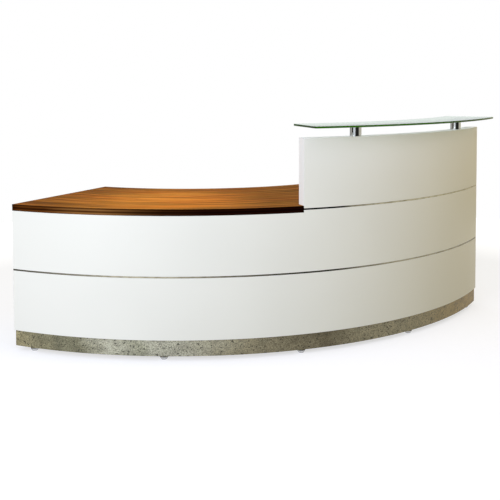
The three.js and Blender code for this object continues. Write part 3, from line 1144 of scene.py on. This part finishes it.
@dataclass
class WallCaps(SubAssembly):
    """The boards that close the raised wall: its left edge, its right edge and its top."""

    stile: float = 0.018
    edge: float = 0.0008

    def build(self) -> None:
        """Builds the stile, the right cap and the top cap."""
        plan = self.plan
        inner = plan.wall_back + plan.skin + FIT_GAP
        boards = {
            "raised_left_stile": (0, (0, self.stile)),
            "raised_right_cap": (plan.half_arc, (-plan.end_board, 0)),
        }
        for node, (angle, across) in boards.items():
            along = (inner, plan.flat_inside(plan.skin_back, across[1] - across[0]))
            shape = self.shop.radial_board(angle, across, along, band(node), self.edge)
            self.shop.deliver(shape, f"{node}_board", WHITE, node)
        start = plan.beside(self.stile + FIT_GAP, inner)
        stop = plan.half_arc - plan.beside(plan.end_board + FIT_GAP, inner)
        radii = (inner, plan.skin_back - FIT_GAP)
        self.shop.bent_piece("raised_top_cap", "board", WHITE, radii, (start, stop), self.edge)


@dataclass
class SupportPanels(SubAssembly):
    """The three upright panels under the worktop."""

    setback: float = 0.06
    edge: float = 0.001

    def build(self) -> None:
        """Builds the left, centre and right panels."""
        plan = self.plan
        inner = plan.inner + self.setback
        thickness = plan.end_board
        end = plan.flat_inside(plan.skin_back, thickness)
        centre = plan.flat_inside(plan.wall_back, thickness / 2)
        boards = {
            "left_end_panel": (-plan.half_arc, (0, thickness), end),
            "centre_panel": (0, (-thickness / 2, thickness / 2), centre),
            "right_end_panel": (plan.half_arc, (-thickness, 0), end),
        }
        for node, (angle, across, outer) in boards.items():
            shape = self.shop.radial_board(angle, across, (inner, outer), band(node), self.edge)
            self.shop.deliver(shape, f"{node}_board", WHITE, node)


@dataclass
class PlinthCover(SubAssembly):
    """The steel sheet on the front of the base."""

    recess: float = 0.006
    sheet: float = 0.002
    edge: float = 0.0005

    def build(self) -> None:
        """Builds the curved sheet."""
        face = self.plan.front - self.recess
        stop = self.plan.half_arc - self.plan.beside(self.recess, face)
        radii = (face - self.sheet, face)
        self.shop.bent_piece("plinth_cover", "sheet", PLINTH, radii, (-stop, stop), self.edge)


@dataclass
class Worktop(SubAssembly):
    """The wooden worktop, which is cut back behind the raised wall, and its edging."""

    edging: float = 0.002
    edge: float = 0.0003
    groove_depth: float = 0.0007
    groove: Span = (0.009, 0.019)
    lip: float = 0.0012

    def build(self) -> None:
        """Builds the board and the four runs of edging."""
        plan = self.plan
        levels = band("worktop")
        near = plan.inner + self.edging + FIT_GAP
        self.shop.deliver(self.board(near, levels), "worktop_board", WALNUT, "worktop")
        seam = -plan.beside(FIT_GAP, plan.front)
        runs = {
            "front_edging": (plan.front - self.edging, plan.front, seam),
            "inner_edging": (plan.inner + self.edging, plan.inner, plan.half_arc),
        }
        for node, (inside, face, stop) in runs.items():
            profile = self.grooved(inside, face, levels)
            shape = self.shop.curved_board(profile, -plan.half_arc, stop, self.edge)
            self.shop.deliver(shape, f"{node}_run", EDGING, node)
        ends = {
            "left_edging": (-plan.half_arc, (0, self.edging), plan.front - self.edging),
            "right_edging": (plan.half_arc, (-self.edging, 0), plan.wall_back),
        }
        for node, (angle, across, stop) in ends.items():
            along = (near, plan.flat_inside(stop, self.edging))
            shape = self.shop.radial_board(angle, across, along, levels, self.edge)
            self.shop.deliver(shape, f"{node}_run", EDGING, node)

    def board(self, near: float, levels: Span) -> Shape:
        """The board between the edgings: full depth on the left half, shallower behind the raised wall.

        Args:
            near: Radius of its edge on the sitter's side.
            levels: Lowest and highest level.

        Returns:
            The shape.
        """
        notch = self.plan.wall_back - FIT_GAP
        front = self.plan.front - self.edging - FIT_GAP
        start = -self.plan.half_arc + self.plan.beside(self.edging + FIT_GAP, notch)
        long = rectangle(near, notch, levels)
        short = rectangle(notch, front, levels)
        return self.shop.stepped_board(long, short, (start, 0, -start), self.edge)

    def grooved(self, inside: float, face: float, levels: Span) -> Profile:
        """The section of a run of edging, with a shallow groove along its face.

        Args:
            inside: Radius of the side against the board.
            face: Radius of the side that shows.
            levels: Lowest and highest level.

        Returns:
            The corners of the section.
        """
        low, high = levels
        bottom, top = (low + level for level in self.groove)
        sunk = face + math.copysign(self.groove_depth, inside - face)
        return [
            (inside, low),
            (face, low),
            (face, bottom - self.lip),
            (sunk, bottom),
            (sunk, top),
            (face, top + self.lip),
            (face, high),
            (inside, high),
        ]


@dataclass
class GlassShelf(SubAssembly):
    """The glass sheet over the raised wall, with rounded corners and ground edges."""

    overhang: float = 0.1
    depth: float = 0.285
    end_inset: float = math.radians(0.5)
    corner: float = 0.015
    corner_steps: int = 10
    ground: float = 0.0008
    steps: int = 40

    def build(self) -> None:
        """Builds the sheet."""
        low, high = band("glass_shelf")
        front = self.plan.front + self.overhang
        shape = bmesh.new()
        radii = (front - self.depth, front)
        line = chain(shape, [self.plan.point(radius, self.end_inset, low) for radius in radii])
        arc = self.plan.half_arc - 2 * self.end_inset
        sweep(shape, line, self.plan.centre, arc, self.steps)
        corners = [vert for vert in shape.verts if len(vert.link_faces) == 1]
        soften(shape, corners, self.corner, self.corner_steps, Rounded.CORNERS)
        raised = bmesh.ops.extrude_face_region(shape, geom=shape.faces[:], use_keep_orig=True)
        lifted = [item for item in raised["geom"] if isinstance(item, bmesh.types.BMVert)]
        bmesh.ops.translate(shape, verts=lifted, vec=UP * (high - low))
        round_edges(shape, self.ground)
        self.shop.deliver(shape, "glass_shelf_sheet", GLASS, "glass_shelf")


@dataclass
class Standoffs(SubAssembly):
    """The chrome posts and discs that carry the glass."""

    radius: float = 0.030
    disc_radius: float = 0.027
    chamfer: float = 0.001
    bore: float = 0.0053
    bore_depth: float = 0.025

    def build(self) -> None:
        """Builds both posts, each with a blind hole for its bolt, and both discs."""
        hole = [(0, self.bore_depth), (self.bore, self.bore_depth), (self.bore, 0)]
        for number in (1, 2):
            post = f"standoff_post_{number}"
            disc = f"standoff_disc_{number}"
            axis = foot(post)
            self.turn(post, axis, hole, self.radius, self.chamfer)
            axis.z = foot(disc).z
            self.turn(disc, axis, [(0, 0)], self.disc_radius, self.chamfer / 2)

    def turn(self, node: str, axis: Vector, start: Profile, radius: float, chamfer: float) -> None:
        """Turns one post or disc.

        Args:
            node: The node it stands for.
            axis: A point of the axis, at the piece's underside.
            start: The outline of its underside, from the axis.
            radius: The radius of its side.
            chamfer: The size of its softened rims.
        """
        low, high = band(node)
        height = high - low
        outline = [*start, *self.side(radius, height, chamfer), (0, height)]
        self.shop.deliver(self.shop.turned(outline, axis), f"{node}_turned", CHROME, node)

    @staticmethod
    def side(radius: float, height: float, chamfer: float) -> Profile:
        """The outline of a cylinder's side with its two rims softened.

        Args:
            radius: The cylinder's radius.
            height: Its height.
            chamfer: The size of its softened rims.

        Returns:
            Points from the lower rim to the upper one.
        """
        lower = []
        for step in range(RIM_STEPS + 1):
            turn = math.pi / 2 * step / RIM_STEPS
            lower.append((radius - chamfer * (1 - math.sin(turn)), chamfer * (1 - math.cos(turn))))
        upper = [(reach, height - level) for reach, level in reversed(lower)]
        return lower + upper


@dataclass
class LevellingFeet(SubAssembly):
    """The cups on the floor and the threaded stems that rise from them."""

    base: float = 0.015
    rim: float = 0.021
    rim_height: float = 0.003
    rounding: float = 0.0008
    nip: float = 0.3
    shoulder: Span = (0.4, 0.6)
    bore: float = 0.0053
    floor: float = 0.005
    major: float = 0.005
    minor: float = 0.0041
    pitch: float = 0.0015
    thread_steps: int = 24
    turns_below: int = 2
    turns_above: int = 1

    def build(self) -> None:
        """Builds the cup and the stem of every foot."""
        for body in frame["bodies"]:
            if body.endswith("_pad"):
                self.cup(body)
            elif body.endswith("_stem"):
                self.stem(body)

    def cup(self, node: str) -> None:
        """Builds one cup, which stands on the floor.

        Args:
            node: The node it stands for.
        """
        low, high = band(node)
        height = high - low
        taper = height - self.rim_height
        soft = self.rounding
        nip = self.nip * soft
        below, above = (share * soft for share in self.shoulder)
        outline = [
            (0, 0),
            (self.base - 2 * soft, 0),
            (self.base - soft, nip),
            (self.base, soft),
            (self.rim - below, taper - soft),
            (self.rim, taper + above),
            (self.rim, height - soft),
            (self.rim - nip, height - nip),
            (self.rim - soft, height),
            (self.bore + soft, height),
            (self.bore, height - soft),
            (self.bore, self.floor),
            (0, self.floor),
        ]
        shape = self.shop.turned(outline, foot(node))
        # The cup's darker chrome is partly painted shade for the shadow under the plinth
        self.shop.deliver(shape, f"{node}_cup", DULL_CHROME_PAINTED_SHADE, node, body=node)

    def stem(self, node: str) -> None:
        """Builds one stem with its thread, which climbs by one pitch for each turn.

        Args:
            node: The node it stands for.
        """
        low, high = band(node)
        axis = foot(node)
        axis.z = 0
        start = low - self.turns_below * self.pitch
        points = []
        for turn in range(round((high - low) / self.pitch) + self.turns_below + self.turns_above):
            level = start + turn * self.pitch
            points.append(axis + Vector((self.minor, 0, level)))
            points.append(axis + Vector((self.major, 0, level + self.pitch / 2)))
        shape = bmesh.new()
        line = chain(shape, points)
        sweep(shape, line, axis, math.tau, self.thread_steps, rise=self.pitch / self.thread_steps)
        merge(shape)
        for level, side in ((low, -UP), (high, UP)):
            cut = bmesh.ops.bisect_plane(
                shape,
                geom=everything(shape),
                plane_co=UP * level,
                plane_no=side,
                clear_outer=True,
            )
            rim = [edge for edge in cut["geom_cut"] if isinstance(edge, bmesh.types.BMEdge)]
            bmesh.ops.edgeloop_fill(shape, edges=rim)
        face_outwards(shape)
        self.shop.deliver(shape, f"{node}_thread", ZINC, node, body=node)


@dataclass
class CarriedNodes(SubAssembly):
    """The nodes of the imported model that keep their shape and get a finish."""

    def build(self) -> None:
        """Dresses the base rail, the uprights, the plinth boards, the inserts and the bolts."""
        for name, node in frame["nodes"].items():
            finish = next((finish for mark, finish in CARRIED.items() if mark in name), None)
            if node.hide_render or finish is None:
                continue
            node.data.materials.clear()
            node.data.materials.append(finish.material(self.plan))
            LOG.info("%s: carried over in %s", name, finish.name)


@dataclass(frozen=True)
class Lamp:
    """A soft lamp that faces a point: a square one, or a spot where it has a cone."""

    name: str
    place: Point
    aim: Point
    watts: float
    colour: Colour
    size: float
    cone: float = 0.0

    def hang(self) -> None:
        """Hangs the lamp out of the camera's sight."""
        if self.cone:
            light = bpy.data.lights.new(self.name, "SPOT")
            light.spot_size = self.cone
            light.spot_blend = 1.0
            light.shadow_soft_size = self.size
        else:
            light = bpy.data.lights.new(self.name, "AREA")
            light.size = self.size
        light.energy = self.watts
        light.color = self.colour
        lamp = bpy.data.objects.new(self.name, light)
        lamp.location = self.place
        lamp.rotation_euler = (Vector(self.aim) - Vector(self.place)).to_track_quat("-Z", "Y").to_euler()
        lamp.visible_camera = False
        bpy.context.scene.collection.objects.link(lamp)


@dataclass
class Studio:
    """The floor, the light and the camera.

    The room and its mirror image are colours by bearing, from behind over the left, the front and the right.
    """

    plan: ArcPlan
    floor_radius: float = 4.3
    floor_sides: int = 96
    floor_drop: float = 0.0003
    floor_colour: Colour = (0.09, 0.08, 0.03)
    floor_seen: Colour = (0.42, 0.43, 0.50)
    glow_reach: Span = (2.4, 4.0)
    glow: Span = (0.62, 1.0)
    room: Stops = (
        (0.0, (0.75, 0.75, 0.75)),
        (0.25, (0.88, 0.92, 0.97)),
        (0.46, (0.78, 0.756, 0.42)),
        (0.56, (0.778, 0.765, 0.56)),
        (0.63, (0.663, 0.582, 0.25)),
        (0.72, (0.80, 0.52, 0.0)),
        (0.86, (0.94, 0.79, 0.42)),
        (1.0, (0.75, 0.75, 0.75)),
    )
    mirrored_room: Stops = (
        (0.0, (0.8, 0.86, 0.84)),
        (0.05, (0.30, 0.30, 0.27)),
        (0.17, (0.34, 0.33, 0.30)),
        (0.2, (0.56, 0.54, 0.49)),
        (0.222, (0.015, 0.015, 0.012)),
        (0.292, (0.015, 0.015, 0.012)),
        (0.312, (0.66, 0.71, 0.73)),
        (0.38, (0.68, 0.72, 0.74)),
        (0.44, (0.015, 0.015, 0.012)),
        (0.595, (0.015, 0.015, 0.012)),
        (0.63, (0.52, 0.50, 0.42)),
        (0.86, (0.60, 0.55, 0.42)),
        (0.9, (0.8, 0.86, 0.84)),
    )
    room_strength: Span = (0.77, 1.0)
    lamps: tuple[Lamp, ...] = (
        Lamp(
            name="key",
            place=(-6.7, -5.1, 2.6),
            aim=(-0.6, -0.3, 0.6),
            watts=413.6,
            colour=(0.897, 0.916, 1.0),
            size=3.0,
        ),
        Lamp(
            name="front",
            place=(-0.8, -2.6, 2.5),
            aim=(-0.35, -0.4, 0.5),
            watts=26.4,
            colour=(0.588, 0.679, 1.0),
            size=2.0,
        ),
        Lamp(
            name="right",
            place=(2.4, -1.4, 2.4),
            aim=(1.0, -0.1, 0.9),
            watts=10.4,
            colour=(0.95, 0.85, 1.0),
            size=1.6,
        ),
        Lamp(
            name="worktop_pool",
            place=(-0.63, -0.06, 2.14),
            aim=(-0.63, -0.06, 0.74),
            watts=96,
            colour=(1.0, 0.93, 0.84),
            size=0.15,
            cone=math.radians(42),
        ),
    )
    eye: Point = (-1.6951, -4.5364, 1.3702)
    yaw: float = math.radians(19.046)
    pitch: float = math.radians(-3.038)
    roll: float = math.radians(-0.149)
    lens: float = 64.083
    shift: float = -0.25
    sight: float = 200

    def build(self) -> None:
        """Sets up the floor, the surroundings, the lamps and the camera."""
        self.floor()
        self.surroundings()
        for lamp in self.lamps:
            lamp.hang()
        self.camera()

    def floor(self) -> None:
        """Lays a pale floor, which keeps the desk's shadow."""
        shape = bmesh.new()
        bmesh.ops.create_circle(
            shape,
            cap_ends=True,
            segments=self.floor_sides,
            radius=self.floor_radius,
            matrix=Matrix.Translation(-UP * self.floor_drop),
        )
        mesh = bpy.data.meshes.new("floor")
        shape.to_mesh(mesh)
        shape.free()
        floor = bpy.data.objects.new("floor", mesh)
        bpy.context.scene.collection.objects.link(floor)
        material = bpy.data.materials.new("pale_floor")
        material.use_nodes = True
        graph = NodeGraph(material.node_tree, self.plan)
        path = graph.node("LightPath").outputs
        seen = graph.maths("MAXIMUM", path["Is Camera Ray"], path["Is Glossy Ray"])
        seen = graph.maths("MAXIMUM", seen, path["Is Transmission Ray"])
        away = graph.node("VectorMath", graph.spot(), operation="LENGTH").outputs["Value"]
        glow = graph.node("Emission", CLEAR, graph.spread(away, self.glow_reach, self.glow))
        shaded = graph.node("BsdfDiffuse", self.floor_seen)
        lifted = graph.node("AddShader", shaded.outputs[0], glow.outputs[0])
        plain = graph.node("BsdfDiffuse", self.floor_colour)
        chosen = graph.node("MixShader", seen, plain.outputs[0], lifted.outputs[0])
        graph.node("OutputMaterial", chosen.outputs[0])
        mesh.materials.append(material)

    def surroundings(self) -> None:
        """Fills the room with soft light, cool on the left, darker in front and warm on the right."""
        world = bpy.data.worlds.new("studio")
        bpy.context.scene.world = world
        world.use_nodes = True
        graph = NodeGraph(world.node_tree, self.plan)
        x, y, _ = graph.split(graph.node("TexCoord").outputs["Generated"])
        bearing = graph.maths("ARCTAN2", x, graph.times(y, -1))
        place = graph.spread(bearing, ALL_ROUND, UNIT)
        soft = graph.ramp(place, *zip(*self.room))
        mirrored = graph.ramp(place, *zip(*self.mirrored_room))
        path = graph.node("LightPath").outputs
        glossy = path["Is Glossy Ray"]
        seen = graph.maths("MAXIMUM", path["Is Camera Ray"], path["Is Transmission Ray"])
        colour = graph.mix(seen, graph.mix(glossy, soft, mirrored), CLEAR)
        strength = graph.spread(graph.maths("MAXIMUM", seen, glossy), UNIT, self.room_strength)
        light = graph.node("Background", colour, strength)
        graph.node("OutputWorld", light.outputs[0])

    def camera(self) -> None:
        """Stands the camera where the desk is seen from, and makes it the scene's own."""
        data = bpy.data.cameras.new("camera")
        data.lens = self.lens
        data.shift_y = self.shift
        data.clip_end = self.sight
        camera = bpy.data.objects.new("camera", data)
        level = math.cos(self.pitch)
        forward = Vector((math.sin(self.yaw) * level, math.cos(self.yaw) * level, math.sin(self.pitch)))
        right = Vector((math.cos(self.yaw), -math.sin(self.yaw), 0))
        tilt = Matrix((right, right.cross(forward), -forward)).transposed().to_4x4()
        camera.matrix_world = Matrix.Translation(self.eye) @ tilt @ Matrix.Rotation(self.roll, 4, "Z")
        bpy.context.scene.collection.objects.link(camera)
        bpy.context.scene.camera = camera
        bpy.context.scene.view_settings.view_transform = "Standard"


ASSEMBLIES = (
    WallSkins,
    WallCaps,
    SupportPanels,
    PlinthCover,
    Worktop,
    GlassShelf,
    Standoffs,
    LevellingFeet,
    CarriedNodes,
)


def main() -> None:
    """Builds the studio, then the desk's sub-assemblies in order."""
    logging.basicConfig(level=logging.INFO, format="%(name)s: %(message)s")
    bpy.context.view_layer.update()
    plan = ArcPlan.from_frame()
    shop = Workshop(plan)
    Studio(plan).build()
    for assembly in ASSEMBLIES:
        assembly(shop).build()


if __name__ == "__main__":
    main()
